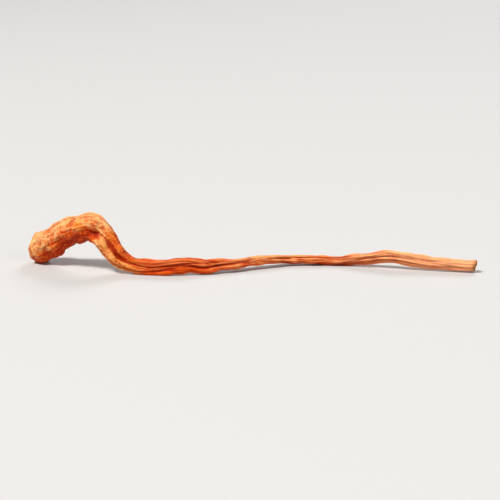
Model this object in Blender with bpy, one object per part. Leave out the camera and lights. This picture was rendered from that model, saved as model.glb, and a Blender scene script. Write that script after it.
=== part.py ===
"""One dried cordyceps fruiting body, lying on a surface: a thick club that arches over, and a slender folded stalk.

The solid is one skin swept along a centreline. The stations below give the centreline and the size of the
section, and folds, marks and lumps shape the skin between them. Sizes are in millimetres until the mesh is made.
X runs from the club's tip to the cut base, Y away from the viewer and Z up, with the surface at Z = 0. The
origin is the middle of the bounding box's base. Angles round the strand start at its outer side, which is the
top where it lies level, and grow towards the far side, so that the viewer's side is at -90.
"""

import math

import bmesh
import bpy
from mathutils import Vector, noise

MILLIMETRE = 0.001

# The stations, from the club's tip to the cut base. Wide and thin are the section's diameters, turned is the
# angle of its wide side, and fold is the depth of the deepest fold as a share of the radius.
X, Y, Z, WIDE, THIN, TURNED, FOLD = range(7)
STATIONS = (
    (-22.6, 6.7, 1.9, 5.2, 4.9, -42, 0.05),  # the tip of the club
    (-20.6, 6.2, 2.7, 6.1, 5.7, -42, 0.05),  # the head, lying on its underside
    (-18.5, 5.5, 4.1, 6.6, 6.1, -42, 0.06),
    (-16.5, 4.7, 5.6, 6.7, 6.1, -42, 0.08),
    (-14.5, 3.8, 7.0, 6.7, 6.1, -40, 0.08),
    (-12.5, 2.8, 8.1, 6.8, 6.1, -36, 0.08),
    (-10.5, 1.7, 8.8, 6.9, 6.2, -28, 0.07),  # the hump on top of the arch
    (-8.4, 0.6, 9.1, 6.8, 6.0, -18, 0.08),
    (-6.4, -0.4, 8.3, 6.3, 5.7, -10, 0.12),
    (-4.8, -1.2, 6.9, 5.6, 5.1, -5, 0.17),  # the fluted foot of the club
    (-3.2, -1.9, 4.9, 5.0, 4.5, -2, 0.22),
    (-1.5, -2.6, 3.1, 4.4, 3.8, 0, 0.28),
    (1.2, -3.4, 2.0, 4.0, 3.2, 2, 0.37),  # the heel, where the stalk starts
    (4.6, -4.2, 1.6, 3.9, 2.8, 6, 0.40),
    (9.0, -4.6, 2.0, 4.1, 2.6, 12, 0.42),
    (13.4, -4.2, 2.4, 4.0, 2.3, 24, 0.44),
    (17.4, -3.2, 1.8, 3.6, 2.3, 48, 0.44),
    (21.6, -1.7, 1.5, 3.4, 2.2, 70, 0.42),
    (26.3, 0.4, 1.9, 3.4, 2.1, 84, 0.40),
    (31.4, 2.4, 1.8, 3.4, 2.1, 92, 0.40),
    (36.2, 3.8, 1.2, 3.3, 2.2, 99, 0.41),
    (41.0, 4.3, 0.9, 3.3, 2.2, 108, 0.43),  # the middle of the stalk, lying on its wide side
    (45.8, 3.9, 1.1, 3.2, 2.2, 122, 0.44),
    (50.6, 2.9, 1.8, 3.3, 2.2, 138, 0.44),
    (55.4, 1.6, 2.4, 3.4, 2.2, 150, 0.44),
    (60.0, 0.3, 2.4, 3.4, 2.2, 157, 0.43),
    (64.8, -0.8, 1.9, 3.4, 2.2, 162, 0.42),
    (69.4, -1.6, 1.5, 3.2, 2.3, 168, 0.40),
    (73.4, -2.0, 1.3, 3.0, 2.3, 173, 0.36),
    (75.6, -2.1, 1.2, 2.9, 2.2, 175, 0.26),  # the cut base
)

# The stalk's kinks: how far it strays from the smooth centreline, over what length, and where this sets in
KINK = 0.45
KINK_LENGTH = 6.0
KINK_START = 34.0
KINK_FULL = 44.0

TIP_LENGTH = 2.7
TIP_RINGS = 7
RING_STEP_CLUB = 0.6
RING_STEP_STALK = 0.85
CLUB_LENGTH = 34.0

# Folds run along the strand. Each wanders round it, and deepens and fades.
FOLD_SHARES = (0.85, 1.0, 0.8, 1.0, 1.2)
FOLDS = len(FOLD_SHARES)
COLUMNS_PER_FOLD = 6
FOLD_WANDER = 26.0
FOLD_WANDER_LENGTH = 12.0
FOLD_FADE_LENGTH = 7.0
FOLD_LEAST = 0.5
FOLD_SPREAD = 18.0

# Lumps: their size, and their height as a share of the section's width, on the skin and in the strand's girth
LUMP_SIZE = 2.6
LUMP_SHARE = 0.075
GIRTH_LENGTH = 4.5
GIRTH_SHARE = 0.08

# Single dents and ridges: distance along the strand, angle, reach along and round it, and height
MARKS = (
    (3.4, -30, 1.8, 1.8, 0.15),
    (5.2, -10, 1.6, 2.2, 0.32),  # the shoulder behind the head
    (4.6, -100, 1.6, 1.3, -0.25),
    (7.1, -60, 1.7, 1.5, 0.30),
    (8.4, -126, 3.0, 0.8, -0.35),  # the crease along the head's lower side
    (12.6, -130, 2.3, 1.1, -0.55),  # the dent where it ends
    (11.6, -40, 1.6, 1.5, -0.20),
    (17.8, -18, 2.2, 2.4, 0.45),  # the hump
    (19.6, -98, 1.5, 1.3, -0.95),  # the hollow below it
    (18.8, 180, 2.6, 2.6, -0.55),  # the inside of the bend, flattened
    (16.5, -75, 1.3, 1.2, 0.30),
    (22.1, -60, 1.5, 1.2, 0.35),
    (26.2, -112, 3.6, 0.8, 0.45),  # the ridges and the groove down the leg
    (26.8, -76, 4.2, 0.7, -0.60),
    (27.0, -40, 3.8, 0.8, 0.40),
    (24.6, 20, 1.6, 1.6, -0.35),
    (8.8, 78, 3.0, 0.9, -0.50),  # the far side
    (12.9, 125, 2.2, 1.6, 0.35),
    (17.8, 75, 1.8, 1.4, -0.50),
    (23.8, 110, 3.2, 0.9, -0.55),
    (29.6, 60, 2.6, 0.9, -0.45),
    (45.5, -98, 4.0, 0.5, -0.38),  # the furrow along the stalk's seen side
    (52.5, -80, 4.5, 0.5, -0.42),
    (60.0, -94, 4.5, 0.5, -0.38),
)

# The cut base is slanted, and its middle has sunk
CUT_SLANT = 0.18
CUT_LENGTH = 2.0
CUT_RIM_SHARE = 0.72
CUT_SUNK = 0.35

SKIN_COLOUR = (0.63, 0.19, 0.035, 1.0)
SKIN_ROUGHNESS = 0.6


def station_distances():
    """How far along the strand each station lies."""
    distances = [0.0]
    for before, after in zip(STATIONS, STATIONS[1:]):
        distances.append(distances[-1] + math.dist(before[:3], after[:3]))
    return distances


STATION_ALONG = station_distances()
STRAND_LENGTH = STATION_ALONG[-1]


def slope(index, column):
    """How fast a value changes along the strand at a station, from the stations beside it."""
    low, high = max(index - 1, 0), min(index + 1, len(STATIONS) - 1)
    rise = STATIONS[high][column] - STATIONS[low][column]
    return rise / (STATION_ALONG[high] - STATION_ALONG[low])


def value_at(along, column):
    """One of the stations' values anywhere along the strand, on a smooth curve through them."""
    along = min(max(along, 0.0), STRAND_LENGTH)
    index = next(i for i in range(len(STATIONS) - 1) if along <= STATION_ALONG[i + 1])
    span = STATION_ALONG[index + 1] - STATION_ALONG[index]
    t = (along - STATION_ALONG[index]) / span
    start, end = STATIONS[index][column], STATIONS[index + 1][column]
    bend = slope(index, column) * span * (t**3 - 2 * t**2 + t)
    bend += slope(index + 1, column) * span * (t**3 - t**2)
    return start + (end - start) * (3 * t**2 - 2 * t**3) + bend


def centre(along):
    """A point of the centreline, with the stalk's kinks."""
    point = Vector([value_at(along, column) for column in (X, Y, Z)])
    share = min(max((along - KINK_START) / (KINK_FULL - KINK_START), 0.0), 1.0)
    point.y += share * KINK * noise.noise(Vector((along / KINK_LENGTH, 0.0, 4.5)))
    point.z += share * KINK * noise.noise(Vector((along / KINK_LENGTH, 7.5, 0.0)))
    return point


def section_axes(along):
    """The strand's direction, and the section's outer and far directions."""
    nearby = 0.4
    ahead = centre(along + nearby) - centre(along - nearby)
    ahead.normalize()
    far = Vector((0, 1, 0)) - ahead * ahead.y
    far.normalize()
    return ahead, ahead.cross(far), far


def fold_angle(fold, along):
    """The angle of a fold from the section's wide side."""
    wander = noise.noise(Vector((along / FOLD_WANDER_LENGTH, 3.7 * fold, 0.5)))
    return 360 / FOLDS * fold + FOLD_WANDER * wander


def fold_depth(fold, along):
    """The depth of a fold as a share of the radius."""
    strength = 0.8 + noise.noise(Vector((along / FOLD_FADE_LENGTH, 5.1 * fold, 9.5)))
    return value_at(along, FOLD) * FOLD_SHARES[fold] * min(max(strength, FOLD_LEAST), 1.0)


def apart(angle, other):
    """The angle between two directions round the strand."""
    return abs((angle - other + 180) % 360 - 180)


def marks_height(along, angle, radius):
    """How far the single dents and ridges raise the skin."""
    height = 0.0
    for mark_along, mark_angle, reach_along, reach_round, rise in MARKS:
        off_along = (along - mark_along) / reach_along
        off_round = math.radians(apart(angle, mark_angle)) * radius / reach_round
        height += rise * math.exp(-(off_along**2) - off_round**2)
    return height


def skin_radius(along, from_wide):
    """How far the skin lies from the centreline, at an angle from the section's wide side."""
    girth = 1 + GIRTH_SHARE * noise.noise(Vector((along / GIRTH_LENGTH, 2.5, 6.5)))
    wide, thin = value_at(along, WIDE) * girth, value_at(along, THIN) * girth
    turn = math.radians(from_wide)
    oval = wide * thin / 2 / math.hypot(thin * math.cos(turn), wide * math.sin(turn))
    folded = 0.0
    for fold in range(FOLDS):
        off_fold = apart(from_wide, fold_angle(fold, along)) / FOLD_SPREAD
        folded += fold_depth(fold, along) * math.exp(-off_fold)
    lump = noise.noise(Vector((oval * math.cos(turn), oval * math.sin(turn), along)) / LUMP_SIZE)
    marks = marks_height(along, from_wide + value_at(along, TURNED), oval)
    return oval * (1 - folded) + LUMP_SHARE * wide * lump + marks


def corner_angles(along):
    """The angles of a ring's corners from its wide side, with one corner in the bottom of every fold."""
    folds = [fold_angle(fold, along) for fold in range(FOLDS)]
    folds.append(folds[0] + 360)
    angles = []
    for start, end in zip(folds, folds[1:]):
        angles += [start + (end - start) * step / COLUMNS_PER_FOLD for step in range(COLUMNS_PER_FOLD)]
    return angles


def ring_points(along, share=1.0, sunk=0.0):
    """The corners of one ring of the skin. None lies below the surface that the strand rests on."""
    ahead, outer, far = section_axes(along)
    left = max(0.0, 1 - along / TIP_LENGTH)
    share *= math.sqrt(1 - left**2)
    near_cut = max(0.0, 1 - (STRAND_LENGTH - along) / CUT_LENGTH)
    points = []
    for from_wide in corner_angles(along):
        turn = math.radians(from_wide + value_at(along, TURNED))
        reach = skin_radius(along, from_wide) * share
        lean = CUT_SLANT * near_cut * reach * math.cos(turn) - sunk
        point = centre(along) + (outer * math.cos(turn) + far * math.sin(turn)) * reach + ahead * lean
        point.z = max(point.z, 0.0)
        points.append(point)
    return points


def ring_distances():
    """Where the rings lie: close together round the tip, and closer on the club than on the stalk."""
    quarter = math.pi / 2
    distances = [TIP_LENGTH * (1 - math.cos(quarter * ring / TIP_RINGS)) for ring in range(1, TIP_RINGS + 1)]
    while distances[-1] < STRAND_LENGTH - RING_STEP_STALK:
        step = RING_STEP_CLUB if distances[-1] < CLUB_LENGTH else RING_STEP_STALK
        distances.append(distances[-1] + step)
    return distances + [STRAND_LENGTH]


def make_skin():
    """Rings joined into one closed skin, with a point at the tip and a sunken face at the cut base."""
    rings = [ring_points(along) for along in ring_distances()]
    rings.append(ring_points(STRAND_LENGTH, CUT_RIM_SHARE, CUT_SUNK))
    skin = bmesh.new()
    tip = skin.verts.new(centre(0))
    loops = [[skin.verts.new(point) for point in ring] for ring in rings]
    pith = skin.verts.new(sum(rings[-1], Vector()) / len(rings[-1]))
    columns = FOLDS * COLUMNS_PER_FOLD
    for column in range(columns):
        beside = (column + 1) % columns
        skin.faces.new((tip, loops[0][column], loops[0][beside]))
        for near, following in zip(loops, loops[1:]):
            skin.faces.new((near[column], following[column], following[beside], near[beside]))
        skin.faces.new((loops[-1][column], pith, loops[-1][beside]))
    return skin


def put_origin_at_base(skin):
    """Moves the skin so that the origin is the middle of its bounding box's base, and scales it to metres."""
    lowest = Vector([min(corner.co[axis] for corner in skin.verts) for axis in range(3)])
    highest = Vector([max(corner.co[axis] for corner in skin.verts) for axis in range(3)])
    middle = (lowest + highest) / 2
    bmesh.ops.translate(skin, verts=skin.verts, vec=(-middle.x, -middle.y, -lowest.z))
    bmesh.ops.scale(skin, verts=skin.verts, vec=(MILLIMETRE, MILLIMETRE, MILLIMETRE))


def make_material():
    material = bpy.data.materials.new("dried_skin")
    material.use_nodes = True
    shader = material.node_tree.nodes["Principled BSDF"]
    shader.inputs["Base Color"].default_value = SKIN_COLOUR
    shader.inputs["Roughness"].default_value = SKIN_ROUGHNESS
    shader.inputs["Metallic"].default_value = 0.0
    return material


def make_fruiting_body():
    skin = make_skin()
    put_origin_at_base(skin)
    bmesh.ops.recalc_face_normals(skin, faces=skin.faces)
    mesh = bpy.data.meshes.new("fruiting_body")
    skin.to_mesh(mesh)
    skin.free()
    mesh.shade_smooth()
    mesh.materials.append(make_material())
    body = bpy.data.objects.new("fruiting_body", mesh)
    bpy.context.scene.collection.objects.link(body)


def main():
    for obj in list(bpy.data.objects):
        bpy.data.objects.remove(obj)
    make_fruiting_body()


main()
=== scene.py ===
"""The looks of one dried cordyceps fruiting body, lying on a pale surface under soft studio light."""

import math

import bpy
import numpy as np
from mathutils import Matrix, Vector, noise


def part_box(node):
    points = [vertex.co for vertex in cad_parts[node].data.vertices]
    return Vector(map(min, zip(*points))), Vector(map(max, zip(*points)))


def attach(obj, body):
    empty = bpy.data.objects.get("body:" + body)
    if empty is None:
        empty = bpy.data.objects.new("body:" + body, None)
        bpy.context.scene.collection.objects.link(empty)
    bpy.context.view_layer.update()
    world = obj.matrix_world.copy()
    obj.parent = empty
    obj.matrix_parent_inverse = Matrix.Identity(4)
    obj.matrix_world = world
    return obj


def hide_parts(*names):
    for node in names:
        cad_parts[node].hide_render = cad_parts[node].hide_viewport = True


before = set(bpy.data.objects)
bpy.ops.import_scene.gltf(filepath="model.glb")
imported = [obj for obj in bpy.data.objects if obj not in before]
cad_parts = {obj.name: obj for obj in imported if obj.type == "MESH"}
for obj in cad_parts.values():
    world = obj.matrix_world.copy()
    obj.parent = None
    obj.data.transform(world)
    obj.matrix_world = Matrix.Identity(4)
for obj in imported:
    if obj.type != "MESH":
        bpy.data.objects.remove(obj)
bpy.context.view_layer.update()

# ----------------------------------------------------------------------------------------------------
# The fruiting body: a thick club that arches over, and the long stalk that it grew on. It is one piece of
# fungus flesh. As it dried, its skin sank into folds along its length, the club kept a fine pebbled grain,
# and the stalk shrank into a flattened ribbon with ridges, channels and fine streaks.

MILLIMETRE = 0.001

# The stations, from the club's tip to the cut base. Wide and thin are the section's diameters, turned is the
# angle of its wide side, and fold is the depth of the deepest fold as a share of the radius.
X, Y, Z, WIDE, THIN, TURNED, FOLD = range(7)
STATIONS = np.array((
    (-22.6, 6.7, 1.9, 5.2, 4.9, -42, 0.05),  # the tip of the club
    (-20.6, 6.2, 2.7, 6.1, 5.7, -42, 0.05),  # the head, lying on its underside
    (-18.5, 5.5, 4.1, 6.6, 6.1, -42, 0.06),
    (-16.5, 4.7, 5.6, 6.7, 6.1, -42, 0.08),
    (-14.5, 3.8, 7.0, 6.7, 6.1, -40, 0.08),
    (-12.5, 2.8, 8.1, 6.8, 6.1, -36, 0.08),
    (-10.5, 1.7, 8.8, 6.9, 6.2, -28, 0.07),  # the hump on top of the arch
    (-8.4, 0.6, 9.1, 6.8, 6.0, -18, 0.08),
    (-6.4, -0.4, 8.3, 6.3, 5.7, -10, 0.12),
    (-4.8, -1.2, 6.9, 5.6, 5.1, -5, 0.17),  # the fluted foot of the club
    (-3.2, -1.9, 4.9, 5.0, 4.5, -2, 0.22),
    (-1.5, -2.6, 3.1, 4.4, 3.8, 0, 0.28),
    (1.2, -3.4, 2.0, 4.0, 3.2, 2, 0.37),  # the heel, where the stalk starts
    (4.6, -4.2, 1.6, 3.9, 2.8, 6, 0.40),
    (9.0, -4.6, 2.0, 4.1, 2.6, 12, 0.42),
    (13.4, -4.2, 2.4, 4.0, 2.3, 24, 0.44),
    (17.4, -3.2, 1.8, 3.6, 2.3, 48, 0.44),
    (21.6, -1.7, 1.5, 3.4, 2.2, 70, 0.42),
    (26.3, 0.4, 1.9, 3.4, 2.1, 84, 0.40),
    (31.4, 2.4, 1.8, 3.4, 2.1, 92, 0.40),
    (36.2, 3.8, 1.2, 3.3, 2.2, 99, 0.41),
    (41.0, 4.3, 0.9, 3.3, 2.2, 108, 0.43),  # the middle of the stalk, lying on its wide side
    (45.8, 3.9, 1.1, 3.2, 2.2, 122, 0.44),
    (50.6, 2.9, 1.8, 3.3, 2.2, 138, 0.44),
    (55.4, 1.6, 2.4, 3.4, 2.2, 150, 0.44),
    (60.0, 0.3, 2.4, 3.4, 2.2, 157, 0.43),
    (64.8, -0.8, 1.9, 3.4, 2.2, 162, 0.42),
    (69.4, -1.6, 1.5, 3.2, 2.3, 168, 0.40),
    (73.4, -2.0, 1.3, 3.0, 2.3, 173, 0.36),
    (75.6, -2.1, 1.2, 2.9, 2.2, 175, 0.26),  # the cut base
))
station_steps = np.linalg.norm(np.diff(STATIONS[:, :3], axis=0), axis=1)
STATION_ALONG = np.concatenate(([0.0], np.cumsum(station_steps)))
STRAND_LENGTH = STATION_ALONG[-1]


def value_at(along, column):
    """One of the stations' values at distances along the strand, on a smooth curve through them."""
    values = STATIONS[:, column]
    places = np.arange(len(values))
    low, high = np.maximum(places - 1, 0), np.minimum(places + 1, len(values) - 1)
    slopes = (values[high] - values[low]) / (STATION_ALONG[high] - STATION_ALONG[low])
    along = np.clip(along, 0.0, STRAND_LENGTH)
    index = np.clip(np.searchsorted(STATION_ALONG, along, side="left") - 1, 0, len(values) - 2)
    span = STATION_ALONG[index + 1] - STATION_ALONG[index]
    t = (along - STATION_ALONG[index]) / span
    bend = slopes[index] * span * (t**3 - 2 * t**2 + t) + slopes[index + 1] * span * (t**3 - t**2)
    return values[index] + (values[index + 1] - values[index]) * (3 * t**2 - 2 * t**3) + bend


def noise_at(x, y, z):
    """Smooth noise from -1 to 1 at arrays of places. Another fixed number for a part gives other noise."""
    shape = np.broadcast(x, y, z).shape
    places = np.stack([np.broadcast_to(part, shape).ravel() for part in (x, y, z)], axis=1)
    return np.array([noise.noise(place) for place in places.tolist()]).reshape(shape)


# The stalk's kinks: how far it strays from the smooth centreline, over what length, and where this sets in
KINK = 0.45
KINK_LENGTH = 6.0
KINK_START = 34.0
KINK_FULL = 44.0


def centre(along):
    """The centreline's points at distances along the strand."""
    share = np.clip((along - KINK_START) / (KINK_FULL - KINK_START), 0.0, 1.0)
    points = np.stack([value_at(along, column) for column in (X, Y, Z)], axis=-1)
    points[:, 1] += share * KINK * noise_at(along / KINK_LENGTH, 0.0, 4.5)
    points[:, 2] += share * KINK * noise_at(along / KINK_LENGTH, 7.5, 0.0)
    return points


def section_axes(along):
    """The strand's direction, and the section's outer and far directions."""
    nearby = 0.4
    ahead = centre(along + nearby) - centre(along - nearby)
    ahead /= np.linalg.norm(ahead, axis=1, keepdims=True)
    far = np.array((0.0, 1.0, 0.0)) - ahead * ahead[:, 1:2]
    far /= np.linalg.norm(far, axis=1, keepdims=True)
    return ahead, np.cross(ahead, far), far


# Folds run along the strand. Each wanders round it, and deepens and fades.
FOLD_SHARES = (0.85, 1.0, 0.8, 1.0, 1.2)
FOLDS = len(FOLD_SHARES)
FOLD_WANDER = 26.0
FOLD_WANDER_LENGTH = 12.0
FOLD_FADE_LENGTH = 7.0
FOLD_USUAL = 0.8
FOLD_LEAST = 0.5
FOLD_SPREAD = 18.0


def fold_angle(fold, along):
    """The angle of a fold from the section's wide side."""
    return 360 / FOLDS * fold + FOLD_WANDER * noise_at(along / FOLD_WANDER_LENGTH, 3.7 * fold, 0.5)


def fold_depth(fold, along):
    """The depth of a fold as a share of the radius."""
    strength = FOLD_USUAL + noise_at(along / FOLD_FADE_LENGTH, 5.1 * fold, 9.5)
    return value_at(along, FOLD) * FOLD_SHARES[fold] * np.clip(strength, FOLD_LEAST, 1.0)


def apart(angle, other):
    """The angle between two directions round the strand."""
    return np.abs((angle - other + 180) % 360 - 180)


# Single dents and ridges: distance along the strand, angle, reach along and round it, and height
MARKS = (
    (3.4, -30, 1.8, 1.8, 0.15),
    (5.2, -10, 1.6, 2.2, 0.32),  # the shoulder behind the head
    (4.6, -100, 1.6, 1.3, -0.25),
    (7.1, -60, 1.7, 1.5, 0.30),
    (8.4, -126, 3.0, 0.8, -0.35),  # the crease along the head's lower side
    (12.6, -130, 2.3, 1.1, -0.55),  # the dent where it ends
    (11.6, -40, 1.6, 1.5, -0.20),
    (17.8, -18, 2.2, 2.4, 0.45),  # the hump
    (19.6, -98, 1.5, 1.3, -0.95),  # the hollow below it
    (18.8, 180, 2.6, 2.6, -0.55),  # the inside of the bend, flattened
    (16.5, -75, 1.3, 1.2, 0.30),
    (22.1, -60, 1.5, 1.2, 0.35),
    (26.2, -112, 3.6, 0.8, 0.45),  # the ridges and the groove down the leg
    (26.8, -76, 4.2, 0.7, -0.60),
    (27.0, -40, 3.8, 0.8, 0.40),
    (24.6, 20, 1.6, 1.6, -0.35),
    (8.8, 78, 3.0, 0.9, -0.50),  # the far side
    (12.9, 125, 2.2, 1.6, 0.35),
    (17.8, 75, 1.8, 1.4, -0.50),
    (23.8, 110, 3.2, 0.9, -0.55),
    (29.6, 60, 2.6, 0.9, -0.45),
    (38.5, -80, 4.0, 0.6, -0.40),  # the furrow along the stalk's seen side
    (45.5, -90, 4.0, 0.7, -0.45),
    (52.5, -80, 4.5, 0.6, -0.42),
    (60.0, -90, 4.5, 0.5, -0.40),
)

# Lumps: their size, and their height as a share of the section's width, on the skin and in the strand's girth
LUMP_SIZE = 2.6
LUMP_SHARE = 0.075
GIRTH_LENGTH = 4.5
GIRTH_SHARE = 0.08


def section_oval(along, from_wide):
    """The section before its folds and lumps."""
    girth = 1 + GIRTH_SHARE * noise_at(along / GIRTH_LENGTH, 2.5, 6.5)
    wide, thin = value_at(along, WIDE) * girth, value_at(along, THIN) * girth
    turn = np.radians(from_wide)
    return wide * thin / 2 / np.hypot(thin * np.cos(turn), wide * np.sin(turn))


def skin_radius(along, from_wide, oval):
    """How far the skin lies from the centreline, at angles from the section's wide side."""
    folded = 0.0
    for fold in range(FOLDS):
        off_fold = apart(from_wide, fold_angle(fold, along)) / FOLD_SPREAD
        folded = folded + fold_depth(fold, along) * np.exp(-off_fold)
    turn = np.radians(from_wide)
    places = [oval * np.cos(turn) / LUMP_SIZE, oval * np.sin(turn) / LUMP_SIZE, along / LUMP_SIZE]
    radius = oval * (1 - folded) + LUMP_SHARE * value_at(along, WIDE) * noise_at(*places)
    angle = from_wide + value_at(along, TURNED)
    for mark_along, mark_angle, reach_along, reach_round, rise in MARKS:
        off_along = (along - mark_along) / reach_along
        off_round = np.radians(apart(angle, mark_angle)) * oval / reach_round
        radius = radius + rise * np.exp(-(off_along**2) - off_round**2)
    return radius


# Wrinkles pinched across the strand on the inside of its bends, where the skin bends by more than the pinch's
# start. They set in behind the head, and wander a little.
WRINKLE_STEP = 0.75
WRINKLE_DEPTH = 0.32
WRINKLE_SHARPNESS = 1.5
WRINKLE_START = 9.0
WRINKLE_FULL = 14.0
PINCH_START = 0.12
PINCH_MOST = 0.7
WANDER = 2.5
WANDER_LENGTH = 2.0
WANDER_ANGLE = 40.0

# The rings and columns of the skin's mesh. A column lies in the bottom of every fold.
TIP_LENGTH = 2.7
TIP_RINGS = 16
RING_STEP_CLUB = 0.1
RING_STEP_STALK = 0.25
CLUB_LENGTH = 34.0
RIM_RINGS = 8
COLUMNS_PER_FOLD = 30

# The cut base is slanted and ragged. Its rim has dried inwards, and its middle has sunk: each ring across it
# has a share of the rim and a depth.
CUT_SLANT = 0.18
CUT_LENGTH = 2.0
RIM_LENGTH = 0.7
RIM_SHRUNK = 0.13
RIM_RAGGED = 0.16
RIM_GRAIN = 2.2
CUT_RINGS = (
    (0.97, -0.02), (0.90, 0.03), (0.82, 0.13), (0.72, 0.24),
    (0.60, 0.31), (0.45, 0.30), (0.30, 0.26), (0.15, 0.25),
)
CUT_ROUGH = 0.16
CUT_GRAIN = 2.6


def ring_distances():
    """Where the skin's rings lie along the strand, closer together round the tip and the rim."""
    quarter = np.pi / 2
    tip = TIP_LENGTH * (1 - np.cos(quarter * np.arange(1, TIP_RINGS + 1) / TIP_RINGS))
    club = np.arange(TIP_LENGTH, CLUB_LENGTH, RING_STEP_CLUB)[1:]
    stalk = np.arange(CLUB_LENGTH, STRAND_LENGTH - RIM_LENGTH, RING_STEP_STALK)
    rim = STRAND_LENGTH - RIM_LENGTH * np.cos(quarter * np.arange(RIM_RINGS) / RIM_RINGS)
    return np.concatenate((tip, club, stalk, rim, [STRAND_LENGTH]))


def softened(values, rounds):
    """Values of the skin's grid of rings and columns, averaged with their neighbours over and over."""
    for _ in range(rounds):
        values = (np.roll(values, 1, axis=1) + 2 * values + np.roll(values, -1, axis=1)) / 4
        ends = np.concatenate((values[:1], values, values[-1:]))
        values = (ends[:-2] + 2 * values + ends[2:]) / 4
    return values


ring_along = ring_distances()
along = ring_along[:, None]
fold_lines = [fold_angle(fold, ring_along) for fold in range(FOLDS)]
fold_lines.append(fold_lines[0] + 360)
between = np.arange(COLUMNS_PER_FOLD) / COLUMNS_PER_FOLD
from_wide = np.concatenate(
    [start[:, None] + (end - start)[:, None] * between for start, end in zip(fold_lines, fold_lines[1:])],
    axis=1,
)
turned = np.radians(from_wide + value_at(along, TURNED))
oval = section_oval(along, from_wide)
reach = skin_radius(along, from_wide, oval)

ahead, outer, far = section_axes(ring_along)
round_way = outer[:, None] * np.cos(turned)[..., None] + far[:, None] * np.sin(turned)[..., None]
bending = np.gradient(ahead, ring_along, axis=0)
bent_in = np.einsum("rk,rck->rc", bending, round_way) * reach
pinched = np.clip(bent_in - PINCH_START, 0.0, PINCH_MOST)
pinched *= np.clip((along - WRINKLE_START) / (WRINKLE_FULL - WRINKLE_START), 0.0, 1.0)
wander = WANDER * noise_at(along / WANDER_LENGTH, from_wide / WANDER_ANGLE, 1.5)
wave = np.abs(np.sin(np.pi * along / WRINKLE_STEP + wander))
reach -= WRINKLE_DEPTH * pinched * (1 - wave) ** WRINKLE_SHARPNESS

# How far each place is raised over the skin round it: 1 is this share of the strand's width
RAISED_SHARE = 0.05
LEVEL_ROUNDS = 60
level = softened(reach, LEVEL_ROUNDS)
raised = (reach - level) / (RAISED_SHARE * value_at(along, WIDE))

# The tip is round, and the rim and the cut are dried and ragged
tip_share = np.sqrt(1 - np.clip(1 - along / TIP_LENGTH, 0.0, 1.0) ** 2)
near_rim = np.clip(1 - (STRAND_LENGTH - along) / RIM_LENGTH, 0.0, 1.0)
usual_reach = reach.mean(axis=1, keepdims=True)
reach = usual_reach + (reach - usual_reach) * tip_share**3
reach = reach * tip_share * (1 - RIM_SHRUNK * near_rim**2)
near_cut = np.clip(1 - (STRAND_LENGTH - along) / CUT_LENGTH, 0.0, 1.0)
lean = CUT_SLANT * near_cut * reach * np.cos(turned)
rim_places = RIM_GRAIN * oval * np.cos(turned), RIM_GRAIN * oval * np.sin(turned), 8.5
lean -= RIM_RAGGED * near_cut**2 * (1 + noise_at(*rim_places))
centres = centre(ring_along)
points = centres[:, None] + round_way * reach[..., None] + ahead[:, None] * lean[..., None]

# Where each corner lies on the strand as if it were straight, in millimetres
girth = oval * tip_share
straight_along = np.broadcast_to(along, girth.shape)
straight = np.stack((girth * np.cos(turned), girth * np.sin(turned), straight_along), axis=-1)

# The cut base's rings
cut_points, cut_straight = [], []
rim_middle = points[-1].mean(axis=0)
rim_lean = (points[-1] - rim_middle) @ ahead[-1]
rim_round = points[-1] - rim_middle - rim_lean[:, None] * ahead[-1]
for share, depth in CUT_RINGS:
    grain_places = straight[-1, :, :2] * CUT_GRAIN * share
    rough = CUT_ROUGH * noise_at(grain_places[:, 0], grain_places[:, 1], 5.5)
    sunk = rim_lean * share**3 - depth - rough * (1 - share**4)
    cut_points.append(rim_middle + rim_round * share + ahead[-1] * sunk[:, None])
    cut_straight.append(straight[-1] * (share, share, 1) + (0, 0, 2 * depth))
points = np.concatenate((points, np.array(cut_points)))
straight = np.concatenate((straight, np.array(cut_straight)))

rings, columns = points.shape[:2]
corner = np.arange(rings * columns).reshape(rings, columns)
beside = np.roll(corner, -1, axis=1)
faces = np.stack((corner[:-1], corner[1:], beside[1:], beside[:-1]), axis=-1).reshape(-1, 4).tolist()
tip_corner, pith_corner = rings * columns, rings * columns + 1
faces += [(tip_corner, int(near), int(following)) for near, following in zip(corner[0], beside[0])]
faces += [(int(near), pith_corner, int(following)) for near, following in zip(corner[-1], beside[-1])]
tip_point, pith_point = centre(np.zeros(1))[0], points[-1].mean(axis=0)
skin_points = np.concatenate((points.reshape(-1, 3), [tip_point, pith_point]))
skin_points[:, 2] = np.maximum(skin_points[:, 2], 0.0)

# The strand goes where the frame's solid is: seen from above, their boxes share a middle
solid_low, solid_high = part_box("fruiting_body")
solid_middle = np.array((solid_low + solid_high) / 2) / MILLIMETRE
skin_middle = (skin_points.min(axis=0) + skin_points.max(axis=0)) / 2
placed = np.array((solid_middle[0] - skin_middle[0], solid_middle[1] - skin_middle[1], 0.0))
skin_points = (skin_points + placed) * MILLIMETRE

skin_mesh = bpy.data.meshes.new("strand_skin")
skin_mesh.from_pydata(skin_points.tolist(), [], faces)
skin_mesh.shade_smooth()


def keep_on_skin(name, on_rings, on_tip, on_pith):
    """Keeps values for every corner of the skin's mesh, for its relief and its colours."""
    on_rings, width = np.asarray(on_rings), np.size(on_tip)
    values = np.concatenate((on_rings.reshape(-1, width), np.reshape((on_tip, on_pith), (2, width))))
    attribute = skin_mesh.attributes.new(name, "FLOAT_VECTOR" if width == 3 else "FLOAT", "POINT")
    attribute.data.foreach_set("vector" if width == 3 else "value", values.ravel().astype(np.float32))


def with_cut(on_skin_rings, on_cut_rings):
    """Values of the skin's rings, with one value for all of the cut base's rings."""
    return np.concatenate((on_skin_rings, np.full((len(CUT_RINGS), columns), on_cut_rings)))


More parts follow.
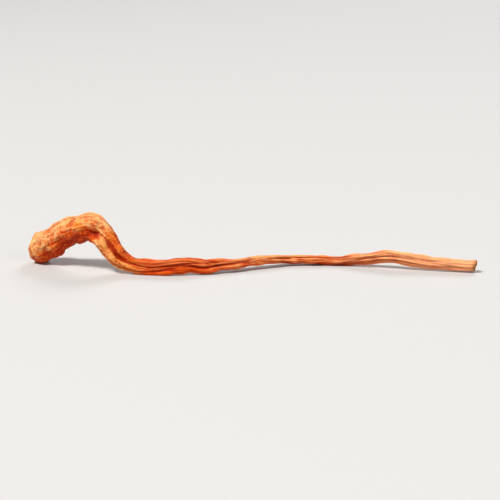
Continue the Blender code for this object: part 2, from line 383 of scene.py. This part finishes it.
# Painted light and shade: the side that faces the light is painted paler, and the side away from it
# redder and darker. The table gives distances along the strand, and the angle of that side.
# The round tip gets a share of the painted light all round.
LIT_SIDE = (
    (0, -40), (9, -20), (14, -5), (19, 3), (22, -100),
    (24, -150), (29, -150), (34, -40), (42, -30), (102, -30),
)
# The share of painted light on the round tip, and how much each place faces the light
LIT_TIP = 0.45
lit_side_angle = np.interp(along, *zip(*LIT_SIDE))
facing_light = np.cos(np.radians(from_wide + value_at(along, TURNED) - lit_side_angle)) * tip_share
facing_light += LIT_TIP * (1 - tip_share)

# The club's skin gives way to the stalk's over the last of the club
CLUB_SKIN_END = 36.0
CLUB_SKIN_FADE = 10.0
on_club = np.clip((CLUB_SKIN_END - straight[..., 2]) / CLUB_SKIN_FADE, 0.0, 1.0)
keep_on_skin("straight", straight, (0.0, 0.0, 0.0), (0.0, 0.0, STRAND_LENGTH))
keep_on_skin("raised", with_cut(raised, 0.0), 0.0, 0.0)
# How much each place faces the light, kept for the painted light and shade
keep_on_skin("facing_light", with_cut(facing_light, 0.0), LIT_TIP, 0.0)
keep_on_skin("pinched", with_cut(pinched, 0.0), 0.0, 0.0)
keep_on_skin("on_club", on_club, 1.0, 0.0)
keep_on_skin("cut", with_cut(np.zeros_like(pinched), 1.0), 0.0, 1.0)
strand = bpy.data.objects.new("strand_skin", skin_mesh)
bpy.context.scene.collection.objects.link(strand)


def add_node(tree, kind, inputs=None, **settings):
    """Adds a node. An input is a value or another node's output. A setting is one of the node's own."""
    made = tree.nodes.new(kind)
    for name, value in settings.items():
        setattr(made, name, value)
    for key, value in (inputs or {}).items():
        if isinstance(value, bpy.types.NodeSocket):
            tree.links.new(value, made.inputs[key])
        else:
            made.inputs[key].default_value = value
    return made


def maths(tree, operation, first, second=0.0, third=None):
    """A step of arithmetic on numbers or on nodes' outputs."""
    inputs = {0: first, 1: second}
    if third is not None:
        inputs[2] = third
    return add_node(tree, "ShaderNodeMath", inputs, operation=operation).outputs[0]


def vector_maths(tree, operation, first, second, third=None):
    """A step of arithmetic on vectors, each part by itself."""
    inputs = {0: first, 1: second}
    if third is not None:
        inputs[2] = third
    return add_node(tree, "ShaderNodeVectorMath", inputs, operation=operation).outputs[0]


def lengthened(tree, vector, length):
    """A vector made this many times as long."""
    return add_node(tree, "ShaderNodeVectorMath", {0: vector, "Scale": length}, operation="SCALE").outputs[0]


def eased(tree, value, low, high, new_low=0.0, new_high=1.0):
    """A value's range from low to high, stretched smoothly to another and held there."""
    inputs = {0: value, 1: low, 2: high, 3: new_low, 4: new_high}
    return add_node(tree, "ShaderNodeMapRange", inputs, interpolation_type="SMOOTHSTEP").outputs[0]


def new_shape_tree(name, sizes):
    """A geometry tree with a named input for each size."""
    tree = bpy.data.node_groups.new(name, "GeometryNodeTree")
    tree.interface.new_socket("Geometry", in_out="INPUT", socket_type="NodeSocketGeometry")
    for size, value in sizes.items():
        kind = "NodeSocketInt" if isinstance(value, int) else "NodeSocketFloat"
        tree.interface.new_socket(size, in_out="INPUT", socket_type=kind)
    tree.interface.new_socket("Geometry", in_out="OUTPUT", socket_type="NodeSocketGeometry")
    return tree, tree.nodes.new("NodeGroupInput").outputs, tree.nodes.new("NodeGroupOutput").inputs


def finish_tree(tree, result, shape, material):
    """Ends a tree: what it made becomes one plain mesh in its material."""
    realized = add_node(tree, "GeometryNodeRealizeInstances", {"Geometry": shape}).outputs[0]
    painting = {"Geometry": realized, "Material": material}
    tree.links.new(add_node(tree, "GeometryNodeSetMaterial", painting).outputs[0], result[0])


def shape_with(piece, tree, sizes):
    """Runs a tree on a piece at these sizes, and makes its result the piece's own mesh."""
    shaping = piece.modifiers.new(tree.name, "NODES")
    shaping.node_group = tree
    for socket in tree.interface.items_tree:
        if socket.name in sizes:
            shaping[socket.identifier] = sizes[socket.name]
    made = bpy.data.meshes.new_from_object(piece.evaluated_get(bpy.context.evaluated_depsgraph_get()))
    made.name = piece.name
    made.shade_smooth()
    piece.modifiers.clear()
    piece.data = made


RELIEF_SIZES = {
    "Pebble size": 0.52,
    "Pebble height": 0.07,
    "Pit spacing": 1.35,
    "Pit radius": 0.30,
    "Pit depth": 0.13,
    "Crinkle width": 1.5,
    "Crinkle length": 0.75,
    "Crinkle height": 0.07,
    "Streak width": 0.85,
    "Streak length": 14.0,
    "Streak height": 0.12,
    "Fine streak width": 0.28,
    "Fine streak length": 5.0,
    "Fine streak height": 0.03,
    "Lump width": 1.15,
    "Lump length": 1.9,
    "Lump height": 0.11,
    "Millimetre": MILLIMETRE,
}
relief, asked, given = new_shape_tree("dried_relief", RELIEF_SIZES)


def held(tree, name, kind="FLOAT"):
    """Values that the mesh's corners keep under a name."""
    return add_node(tree, "GeometryNodeInputNamedAttribute", {"Name": name}, data_type=kind).outputs[0]


def waves(tree, vector, width, length, bend, seed):
    """Noise from about -0.3 to 0.3 in waves of a width and a length along the strand."""
    across, lengthwise = maths(tree, "DIVIDE", 1.0, width), maths(tree, "DIVIDE", 1.0, length)
    shares = add_node(tree, "ShaderNodeCombineXYZ", {"X": across, "Y": across, "Z": lengthwise}).outputs[0]
    made = add_node(tree, "ShaderNodeTexNoise", {
        "Vector": vector_maths(tree, "MULTIPLY", vector, shares),
        "W": seed,
        "Scale": 1.0,
        "Detail": 1.5,
        "Distortion": bend,
    }, noise_dimensions="4D").outputs[0]
    return maths(tree, "SUBTRACT", made, 0.5)


def wrinkled(tree, vector, form, bend, seed):
    """Wrinkles of a form's width and length, with sharp valleys: -1 in a valley, 1 or more on a ridge."""
    usual_swing = 0.09
    made = waves(tree, vector, asked[f"{form} width"], asked[f"{form} length"], bend, seed)
    swing = maths(tree, "ABSOLUTE", made)
    return maths(tree, "SUBTRACT", maths(tree, "DIVIDE", swing, usual_swing), 1.0)


def swelling(tree, vector, width, length, seed):
    """Soft swellings and hollows, from about -1 to 1."""
    slight_bend, gain = 0.2, 5.0
    return maths(tree, "MULTIPLY", waves(tree, vector, width, length, slight_bend, seed), gain)


def cells(tree, vector, size, **settings):
    """Cells side by side, of a size across."""
    inputs = {"Vector": vector, "Scale": maths(tree, "DIVIDE", 1.0, size)}
    return add_node(tree, "ShaderNodeTexVoronoi", inputs, **settings)


where = held(relief, "straight", "FLOAT_VECTOR")
club = held(relief, "on_club")
stalk = maths(relief, "SUBTRACT", 1.0, club)

# Pits and crinkles stray from where they would lie in rows
STRAY = (0.9, 0.9, 0.9)
STRAY_SCALE = 1.4
straying = {"Vector": where, "Scale": STRAY_SCALE, "Detail": 1.0}
astray = add_node(relief, "ShaderNodeTexNoise", straying).outputs["Color"]
strayed = vector_maths(relief, "MULTIPLY_ADD", astray, STRAY, where)

# Pebbles stand side by side on the club: 1 on top of each, and about 0 in the gaps between them
PEBBLE_SOFTNESS = 0.25
PEBBLE_SLOPE = -2.2
pebbles = cells(relief, where, asked["Pebble size"], feature="SMOOTH_F1")
pebbles.inputs["Smoothness"].default_value = PEBBLE_SOFTNESS
pebble = maths(relief, "MULTIPLY_ADD", pebbles.outputs["Distance"], PEBBLE_SLOPE, 1.0)

# Pits lie here and there, in some of the cells, where the skin sank in
pit_cells = cells(relief, strayed, asked["Pit spacing"]).outputs
pit_reach = maths(relief, "DIVIDE", asked["Pit radius"], asked["Pit spacing"])
chosen = add_node(relief, "FunctionNodeSeparateColor", {0: pit_cells["Color"]}).outputs[0]
in_reach = eased(relief, pit_cells["Distance"], pit_reach, 0.0)
pit = maths(relief, "MULTIPLY", in_reach, eased(relief, chosen, 0.45, 0.6))
pit = maths(relief, "MULTIPLY", pit, maths(relief, "MULTIPLY_ADD", club, 0.85, 0.15))

# Crinkles cross the club in patches, streaks run down the strand, and lumps swell it
crinkle = wrinkled(relief, strayed, "Crinkle", bend=0.5, seed=4.0)
PATCH_WIDTH = 4.0
PATCH_LENGTH = 6.0
crinkled_patch = eased(relief, swelling(relief, where, PATCH_WIDTH, PATCH_LENGTH, seed=5.0), -0.1, 0.6)
streak = wrinkled(relief, where, "Streak", bend=0.3, seed=1.0)
fine_streak = wrinkled(relief, where, "Fine streak", bend=0.4, seed=2.0)
lump = swelling(relief, where, asked["Lump width"], asked["Lump length"], seed=3.0)
STREAKS_START = 0.5
STREAKS_FULL = 6.0
from_tip = add_node(relief, "ShaderNodeSeparateXYZ", {0: where}).outputs[2]
off_tip = eased(relief, from_tip, STREAKS_START, STREAKS_FULL)

# What the skin rises by: each form, its height, and the shares of it that stand where it does
rise = 0.0
for form, height, *shares in (
    (pebble, "Pebble height", club),
    (maths(relief, "MULTIPLY", pit, -1.0), "Pit depth"),
    (crinkle, "Crinkle height", crinkled_patch, club),
    (streak, "Streak height", maths(relief, "MULTIPLY_ADD", stalk, 0.4, 0.6), off_tip),
    (fine_streak, "Fine streak height"),
    (lump, "Lump height", maths(relief, "MULTIPLY_ADD", club, 0.6, 0.4)),
):
    for share in shares:
        form = maths(relief, "MULTIPLY", form, share)
    rise = maths(relief, "MULTIPLY_ADD", form, asked[height], rise)
rise = maths(relief, "MULTIPLY", rise, maths(relief, "MULTIPLY_ADD", held(relief, "pinched"), -1.2, 1.0))
rise = maths(relief, "MULTIPLY", rise, maths(relief, "SUBTRACT", 1.0, held(relief, "cut")))


def store(tree, shape, name, value):
    """Lets a shape's corners keep a value under a name."""
    inputs = {"Geometry": shape, "Name": name, "Value": value}
    keeping = add_node(tree, "GeometryNodeStoreNamedAttribute", inputs, data_type="FLOAT", domain="POINT")
    return keeping.outputs[0]


def kept_above_floor(tree, shape):
    """Lifts what is below the floor on to it."""
    place = add_node(tree, "GeometryNodeInputPosition").outputs[0]
    parts = add_node(tree, "ShaderNodeSeparateXYZ", {0: place}).outputs
    lifted = {"X": parts[0], "Y": parts[1], "Z": maths(tree, "MAXIMUM", parts[2], 0.0)}
    resting = add_node(tree, "ShaderNodeCombineXYZ", lifted).outputs[0]
    return add_node(tree, "GeometryNodeSetPosition", {"Geometry": shape, "Position": resting}).outputs[0]


skin = asked["Geometry"]
for name, value in (("streak", streak), ("lump", lump), ("pit", pit), ("pebble", pebble)):
    skin = store(relief, skin, name, value)
normal = add_node(relief, "GeometryNodeInputNormal").outputs[0]
shift = lengthened(relief, normal, maths(relief, "MULTIPLY", rise, asked["Millimetre"]))
skin = add_node(relief, "GeometryNodeSetPosition", {"Geometry": skin, "Offset": shift}).outputs[0]
skin = kept_above_floor(relief, skin)

# How far each place stands out from the skin near it, in millimetres: painted highlights on ridges
# and painted shade in hollows follow it
BLUR_ROUNDS = 14
here = add_node(relief, "GeometryNodeInputPosition").outputs[0]
blurring = {"Value": here, "Iterations": BLUR_ROUNDS}
smoothed = add_node(relief, "GeometryNodeBlurAttribute", blurring, data_type="FLOAT_VECTOR").outputs[0]
off_smooth = vector_maths(relief, "SUBTRACT", here, smoothed)
along_normal = add_node(relief, "ShaderNodeVectorMath", {0: off_smooth, 1: normal}, operation="DOT_PRODUCT")
out_by = maths(relief, "DIVIDE", along_normal.outputs["Value"], asked["Millimetre"])
skin = store(relief, skin, "stands_out", out_by)

# The dried skin: orange, painted paler on the side toward the light and redder on the side away from it,
# with painted highlights on its ridges and painted dark red-brown shade in its creases
dried_skin = bpy.data.materials.new("dried_skin")
dried_skin.use_nodes = True
paint = dried_skin.node_tree
shader = paint.nodes["Principled BSDF"]

DEEP_ORANGE = (0.62, 0.070, 0.003, 1.0)
BRIGHT_ORANGE = (0.86, 0.18, 0.012, 1.0)
APRICOT = (0.91, 0.41, 0.14, 1.0)
PEACH = (0.92, 0.55, 0.23, 1.0)
GOLDEN = (0.92, 0.37, 0.05, 1.0)
SALMON = (0.72, 0.13, 0.025, 1.0)
RED_ORANGE = (0.62, 0.052, 0.001, 1.0)
RUST = (0.38, 0.018, 0.001, 1.0)
CREASE_RED = (0.20, 0.008, 0.001, 1.0)
PALE_SALMON = (0.92, 0.42, 0.20, 1.0)
PITH_CREAM = (0.78, 0.46, 0.18, 1.0)
RIM_BROWN = (0.25, 0.07, 0.015, 1.0)


def kept_value(tree, name, output="Fac"):
    """Values that the mesh's corners keep under a name, for a material."""
    return add_node(tree, "ShaderNodeAttribute", attribute_name=name).outputs[output]


def mixed(tree, share, first, second):
    """Two colours mixed: none of the second at a share of 0, and nothing else at 1."""
    return add_node(tree, "ShaderNodeMix", {0: share, 6: first, 7: second}, data_type="RGBA").outputs[2]


def noise_of(tree, vector, scale, detail=2.0, roughness=0.5, bend=0.0):
    """Noise from 0 to 1, mostly near 0.5."""
    return add_node(tree, "ShaderNodeTexNoise", {
        "Vector": vector,
        "Scale": scale,
        "Detail": detail,
        "Roughness": roughness,
        "Distortion": bend,
    }).outputs[0]


# Noise in patches on the strand, as if it were straight: how close they lie along it as a share of how close
# they lie round it, how many to a millimetre round it, and their detail, roughness and bend
BRIGHT_PATCHES = (0.45, 0.55, 4.0, 0.6)
GOLDEN_PATCHES = (0.6, 0.33, 3.0)
PEACH_PATCHES = (0.5, 0.5, 3.0, 0.55, 0.4)
BRIGHT_BLOTCHES = (0.4, 0.8, 4.0, 0.65, 0.6)
RUST_BLOTCHES = (0.55, 0.75, 3.0, 0.6, 0.5)
MOTTLING = (0.7, 0.9, 4.0, 0.62, 0.6)
STALK_FIBRES = (0.05, 6.0, 3.0, 0.65)
CLUB_GRAIN = (0.7, 4.5, 3.0, 0.65)
SKIN_GRAIN = (0.35, 9.0, 4.0, 0.6)
DULL_PATCHES = (1.0, 1.8)


def patchy(lengthwise, scale, *finer):
    """Noise from 0 to 1 in patches like these."""
    return noise_of(paint, vector_maths(paint, "MULTIPLY", spot, (1.0, 1.0, lengthwise)), scale, *finer)


def coat(under_coat, follows, start, full, share, tint, only=None):
    """Lays a tint over a colour: none where a value is at its start, this share where it is full."""
    amount = eased(paint, follows, start, full, 0.0, share)
    if only is not None:
        amount = maths(paint, "MULTIPLY", amount, only)
    return mixed(paint, amount, under_coat, tint)


def wash(under_coat, place, share, tint):
    """Lays this share of a tint over a colour, everywhere in a place."""
    return mixed(paint, maths(paint, "MULTIPLY", place, share), under_coat, tint)


spot = kept_value(paint, "straight", "Vector")
how_far = add_node(paint, "ShaderNodeSeparateXYZ", {0: spot}).outputs[2]
fold_rise = kept_value(paint, "raised")
fine_rise = kept_value(paint, "stands_out")
lump_rise = kept_value(paint, "lump")
streak_rise = kept_value(paint, "streak")
clubness = kept_value(paint, "on_club")
stalkness = maths(paint, "SUBTRACT", 1.0, clubness)
# How much each place faces the light, for the painted light and shade
to_light = kept_value(paint, "facing_light")
mottle = maths(paint, "SUBTRACT", patchy(*MOTTLING), 0.5)


def mottled(value, strength):
    """A value whose edges wander with the skin's mottling."""
    return maths(paint, "MULTIPLY_ADD", mottle, strength, value)


def stretch(starts, full, fades, ends):
    """A place along the strand, between these distances from the tip."""
    return maths(paint, "MULTIPLY", eased(paint, how_far, starts, full), eased(paint, how_far, ends, fades))


# Orange in deep and bright patches, salmon down the stalk
colour = coat(DEEP_ORANGE, patchy(*BRIGHT_PATCHES), 0.38, 0.62, 1.0, BRIGHT_ORANGE)
colour = coat(colour, stalkness, 0.0, 1.0, 0.65, SALMON)

# Apricot painted light on the side toward the light and on the tops of lumps, golden patches on the club,
# and peach painted light in patches on the lit side and over the club's lit side
lit_mottled = mottled(to_light, 2.6)
colour = coat(colour, maths(paint, "MULTIPLY_ADD", lump_rise, 0.25, lit_mottled), 0.0, 1.2, 0.88, APRICOT)
colour = coat(colour, patchy(*GOLDEN_PATCHES), 0.50, 0.66, 0.6, GOLDEN, clubness)
in_sun = eased(paint, lit_mottled, 0.4, 1.3)
colour = coat(colour, patchy(*PEACH_PATCHES), 0.48, 0.64, 0.75, PEACH, in_sun)
colour = coat(colour, mottled(to_light, 5.0), 0.4, 1.2, 0.68, PEACH, clubness)

# The club's leg is golden orange. Next to it, and again past its middle, the stalk stayed deep orange.
leg = stretch(20.0, 24.0, 30.0, 36.0)
colour = wash(colour, leg, 0.5, GOLDEN)
colour = wash(colour, leg, 0.35, BRIGHT_ORANGE)
next_to_club = stretch(29.0, 34.0, 46.0, 56.0)
colour = wash(colour, next_to_club, 0.78, DEEP_ORANGE)
colour = wash(colour, stretch(65.0, 71.0, 76.0, 84.0), 0.5, DEEP_ORANGE)

# Painted shade on the side away from the light: red-orange, less of it down the leg, with bright and
# rust-red blotches in it, and rust-red painted shade under the club and in the wrinkles of its bend
shaded = eased(paint, mottled(to_light, 1.3), 0.38, -0.22)
shaded = maths(paint, "MULTIPLY", shaded, maths(paint, "MULTIPLY_ADD", leg, -0.35, 1.0))
colour = wash(colour, shaded, 0.92, RED_ORANGE)
colour = coat(colour, patchy(*BRIGHT_BLOTCHES), 0.48, 0.68, 0.45, BRIGHT_ORANGE, shaded)
colour = coat(colour, patchy(*RUST_BLOTCHES), 0.52, 0.66, 0.8, RUST, shaded)
colour = coat(colour, mottled(to_light, 1.2), 0.1, -0.42, 0.9, RUST, eased(paint, how_far, 24.0, 19.0))
colour = coat(colour, kept_value(paint, "pinched"), 0.0, 0.4, 0.7, RUST)

# Pale salmon towards the base
PALE_START = STRAND_LENGTH - 36.0
PALE_FULL = STRAND_LENGTH - 3.0
near_base = eased(paint, mottled(how_far, 12.0), PALE_START, PALE_FULL)
colour = wash(colour, near_base, 0.75, PALE_SALMON)

# Painted highlights on the ridges on the side toward the light, brighter orange painted highlights on
# raised spots on the side away from it, and painted shade everywhere: rust-red in hollows and valleys,
# dark red in creases and in pits
sunlit = maths(paint, "MULTIPLY_ADD", shaded, -0.85, maths(paint, "MULTIPLY_ADD", next_to_club, -0.4, 1.0))
colour = coat(colour, streak_rise, 0.4, 2.0, 0.4, APRICOT, sunlit)
colour = coat(colour, fold_rise, 0.3, 1.2, 0.45, APRICOT, sunlit)
colour = coat(colour, lump_rise, -0.1, -1.0, 0.32, RUST)
colour = coat(colour, streak_rise, 0.1, -1.0, 0.8, RUST, maths(paint, "MULTIPLY_ADD", stalkness, 0.6, 0.4))
colour = coat(colour, fold_rise, 0.0, -0.6, 0.85, RUST)
colour = coat(colour, fold_rise, -0.4, -1.3, 0.92, CREASE_RED)
colour = coat(colour, fine_rise, 0.03, 0.10, 0.4, APRICOT, sunlit)
colour = coat(colour, fine_rise, -0.02, 0.11, 0.36, BRIGHT_ORANGE, shaded)
colour = coat(colour, fine_rise, 0.006, -0.05, 0.55, RUST)
colour = coat(colour, kept_value(paint, "pit"), 0.0, 1.0, 0.45, CREASE_RED)

# Fine fibres run down the stalk, and a fine grain covers the club. On the club the grain follows the
# pebbles, so the gaps between them are darker, as painted shade. The grain's dark lines are rust-red
# everywhere, and its pale ones take a peach painted highlight on the side toward the light.
fibre_lines = patchy(*STALK_FIBRES)
grain_and_gap_shade = maths(paint, "MULTIPLY_ADD", patchy(*CLUB_GRAIN), 0.5, 0.17)
grain_and_gap_shade = maths(paint, "MULTIPLY_ADD", kept_value(paint, "pebble"), 0.16, grain_and_gap_shade)
fineness = mixed(paint, clubness, fibre_lines, grain_and_gap_shade)
colour = coat(colour, fineness, 0.47, 0.28, 0.36, RUST)
colour = coat(colour, fineness, 0.53, 0.70, 0.35, PEACH, sunlit)

# The streaks are fainter towards the base, the rim dried brown where it was cut, and the pith is pale
BROWN_START = STRAND_LENGTH - 1.3
colour = wash(colour, near_base, 0.62, PALE_SALMON)
colour = coat(colour, mottled(how_far, 1.5), BROWN_START, STRAND_LENGTH, 0.9, RIM_BROWN)
colour = mixed(paint, kept_value(paint, "cut"), colour, PITH_CREAM)
paint.links.new(colour, shader.inputs["Base Color"])

# A dry satin, rougher in patches, with a grain finer than the mesh
paint.links.new(eased(paint, patchy(*DULL_PATCHES), 0.3, 0.7, 0.46, 0.66), shader.inputs["Roughness"])
skin_grain = maths(paint, "MULTIPLY_ADD", patchy(*SKIN_GRAIN), 0.5, fineness)
roughening = {"Height": skin_grain, "Strength": 0.45, "Distance": 0.15 * MILLIMETRE}
paint.links.new(add_node(paint, "ShaderNodeBump", roughening).outputs[0], shader.inputs["Normal"])


def set_inputs(node, values):
    """Gives a node's inputs their plain values."""
    for name, value in values.items():
        node.inputs[name].default_value = value


set_inputs(shader, {
    "Subsurface Weight": 0.12,
    "Subsurface Radius": (1.0, 0.35, 0.12),
    "Subsurface Scale": 0.7 * MILLIMETRE,
    "Specular IOR Level": 0.14,
    "Specular Tint": (1.0, 0.75, 0.5, 1.0),
})

finish_tree(relief, given, skin, dried_skin)
shape_with(strand, relief, RELIEF_SIZES)
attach(strand, "root")
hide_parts("fruiting_body")

# ----------------------------------------------------------------------------------------------------
# The torn fibres: short threads of the stalk's flesh that stand up from the cut base, where the knife crushed
# the pith and pulled it. They are the same flesh as the strand, dried pale and stiff.

FIBRE_SIZES = {
    "Fibres per square millimetre": 75.0,
    "Fibre length": 0.30,
    "Fibre thickness": 0.05,
    "Spread": 0.65,
    "Bend": 0.22,
    "Seed": 11,
    "Millimetre": MILLIMETRE,
}
tuft, asked, given = new_shape_tree("torn_fibres", FIBRE_SIZES)


def random_vector(tree, lowest, highest, seed):
    """Another vector for each fibre, between two."""
    inputs = {"Min": lowest, "Max": highest, "Seed": seed}
    return add_node(tree, "FunctionNodeRandomValue", inputs, data_type="FLOAT_VECTOR").outputs[0]


def in_metres(size):
    """One of the tree's sizes, which are in millimetres."""
    return maths(tuft, "MULTIPLY", asked[size], asked["Millimetre"])


# The fibres' roots, strewn over the cut face, and the way each fibre points
square_millimetre = maths(tuft, "MULTIPLY", asked["Millimetre"], asked["Millimetre"])
roots = add_node(tuft, "GeometryNodeDistributePointsOnFaces", {
    "Mesh": asked["Geometry"],
    "Selection": maths(tuft, "GREATER_THAN", held(tuft, "cut"), 0.5),
    "Density": maths(tuft, "DIVIDE", asked["Fibres per square millimetre"], square_millimetre),
    "Seed": asked["Seed"],
}).outputs
aside = lengthened(tuft, random_vector(tuft, (-1.0, -1.0, -1.0), (1.0, 1.0, 1.0), 1), asked["Spread"])
fibre_way = vector_maths(tuft, "ADD", roots["Normal"], aside)
turn_to = add_node(tuft, "FunctionNodeAlignRotationToVector", {"Vector": fibre_way}, axis="Z").outputs[0]

# One fibre: a slim tapered thread that stands on its root
fibre = add_node(tuft, "GeometryNodeMeshCone", {
    "Vertices": 5,
    "Side Segments": 5,
    "Radius Top": 0.0,
    "Radius Bottom": maths(tuft, "MULTIPLY", in_metres("Fibre thickness"), 0.5),
    "Depth": in_metres("Fibre length"),
}).outputs["Mesh"]
fibre_spot = add_node(tuft, "GeometryNodeInputPosition").outputs[0]
fibre_height = add_node(tuft, "ShaderNodeSeparateXYZ", {0: fibre_spot}).outputs[2]
fibre = store(tuft, fibre, "up_the_fibre", maths(tuft, "DIVIDE", fibre_height, in_metres("Fibre length")))
fibres = add_node(tuft, "GeometryNodeInstanceOnPoints", {
    "Points": roots["Points"],
    "Instance": fibre,
    "Rotation": turn_to,
    "Scale": random_vector(tuft, (0.6, 0.6, 0.3), (1.3, 1.3, 1.3), 2),
}).outputs[0]
fibres = add_node(tuft, "GeometryNodeRealizeInstances", {"Geometry": fibres}).outputs[0]

# Each fibre dried bent, most at its end
SWAY_SCALE = 2500.0
swaying = {"Vector": fibre_spot, "Scale": SWAY_SCALE, "Detail": 0.0}
sway = add_node(tuft, "ShaderNodeTexNoise", swaying).outputs["Color"]
sway = vector_maths(tuft, "MULTIPLY_ADD", sway, (3.0, 3.0, 3.0), (-1.5, -1.5, -1.5))
up_share = held(tuft, "up_the_fibre")
bend = maths(tuft, "MULTIPLY", maths(tuft, "MULTIPLY", up_share, up_share), in_metres("Bend"))
swayed = {"Geometry": fibres, "Offset": lengthened(tuft, sway, bend)}
fibres = add_node(tuft, "GeometryNodeSetPosition", swayed).outputs[0]
fibres = kept_above_floor(tuft, fibres)

FIBRE_ROOT = (0.58, 0.22, 0.05, 1.0)
FIBRE_TIP = (0.86, 0.56, 0.27, 1.0)
torn_fibre = bpy.data.materials.new("torn_fibre")
torn_fibre.use_nodes = True
paint = torn_fibre.node_tree
shader = paint.nodes["Principled BSDF"]
FIBRE_GRAIN_SCALE = 1500.0
fibre_place = add_node(paint, "ShaderNodeTexCoord").outputs["Object"]
fibre_grain = noise_of(paint, fibre_place, FIBRE_GRAIN_SCALE)
up_unevenly = maths(paint, "MULTIPLY_ADD", fibre_grain, 0.8, kept_value(paint, "up_the_fibre"))
fibre_colour = mixed(paint, eased(paint, up_unevenly, 0.4, 1.2), FIBRE_ROOT, FIBRE_TIP)
paint.links.new(fibre_colour, shader.inputs["Base Color"])
set_inputs(shader, {
    "Roughness": 0.7,
    "Specular IOR Level": 0.14,
    "Subsurface Weight": 0.1,
    "Subsurface Radius": (1.0, 0.45, 0.2),
    "Subsurface Scale": 0.3 * MILLIMETRE,
})

torn_fibres = bpy.data.objects.new("torn_fibres", strand.data.copy())
bpy.context.scene.collection.objects.link(torn_fibres)
finish_tree(tuft, given, fibres, torn_fibre)
shape_with(torn_fibres, tuft, FIBRE_SIZES)
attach(torn_fibres, "root")

# ----------------------------------------------------------------------------------------------------
# The floor: a plain pale sheet, level and far wider than the strand.

FLOOR_HALF = 1.3
FLOOR_GREY = (0.55, 0.545, 0.54, 1.0)

floor_corners = [(x * FLOOR_HALF, y * FLOOR_HALF, 0.0) for x, y in ((-1, -1), (1, -1), (1, 1), (-1, 1))]
floor_mesh = bpy.data.meshes.new("floor")
floor_mesh.from_pydata(floor_corners, [], [(0, 1, 2, 3)])
floor = bpy.data.objects.new("floor", floor_mesh)
bpy.context.scene.collection.objects.link(floor)
pale = bpy.data.materials.new("pale_floor")
pale.use_nodes = True
set_inputs(pale.node_tree.nodes["Principled BSDF"], {"Base Color": FLOOR_GREY, "Roughness": 0.8})
floor_mesh.materials.append(pale)

# ----------------------------------------------------------------------------------------------------
# The lights: a wide soft lamp above and to the left, weaker ones from the right and from behind, and a pale
# room that fills in the shadows.


def aimed(thing, place, target):
    """Puts a thing in its place, looking at a target."""
    thing.location = place
    thing.rotation_euler = (Vector(target) - Vector(place)).to_track_quat("-Z", "Y").to_euler()


def soft_lamp(name, place, width, power, colour):
    """A square lamp that shines on the strand."""
    lamp = bpy.data.lights.new(name, "AREA")
    lamp.size = width
    lamp.energy = power
    lamp.color = colour
    lamp_object = bpy.data.objects.new(name, lamp)
    bpy.context.scene.collection.objects.link(lamp_object)
    aimed(lamp_object, place, (0.0, 0.0, 0.0))


soft_lamp("key", (-0.9, -0.7, 1.7), 0.45, 52.0, (1.0, 0.98, 0.95))
soft_lamp("fill", (1.4, -1.3, 0.7), 1.0, 9.0, (1.0, 0.97, 0.94))
soft_lamp("back", (0.5, 1.5, 1.2), 0.8, 16.0, (1.0, 1.0, 1.0))

# The room gives the strand a weak even light, and looks as pale as the floor to the camera
ROOM_LIGHT = 0.2
ROOM_LOOK = 0.72
room = bpy.data.worlds.new("room")
room.use_nodes = True
room_light = room.node_tree.nodes["Background"]
room_light.inputs["Color"].default_value = (1.0, 1.0, 1.0, 1.0)
seen = add_node(room.node_tree, "ShaderNodeLightPath").outputs["Is Camera Ray"]
strength = maths(room.node_tree, "MULTIPLY_ADD", seen, ROOM_LOOK - ROOM_LIGHT, ROOM_LIGHT)
room.node_tree.links.new(strength, room_light.inputs["Strength"])
bpy.context.scene.world = room
bpy.context.scene.view_settings.view_transform = "Standard"

# ----------------------------------------------------------------------------------------------------
# The camera: level with the strand's length, looking down a little.

CAMERA_RISE = 14.0
LENS = 105.0
FRAME_SHARE = 0.9
AIM_HEIGHT = 0.004

camera_data = bpy.data.cameras.new("camera")
camera_data.lens = LENS
camera_data.clip_start = 0.01
camera = bpy.data.objects.new("camera", camera_data)
bpy.context.scene.collection.objects.link(camera)
rise_angle = math.radians(CAMERA_RISE)
looking_from = Vector((0.0, -math.cos(rise_angle), math.sin(rise_angle)))
strand_width = solid_high.x - solid_low.x
camera_away = LENS / camera_data.sensor_width * strand_width / FRAME_SHARE
aim = Vector((0.0, 0.0, AIM_HEIGHT))
aimed(camera, looking_from * camera_away + aim, aim)
bpy.context.scene.camera = camera
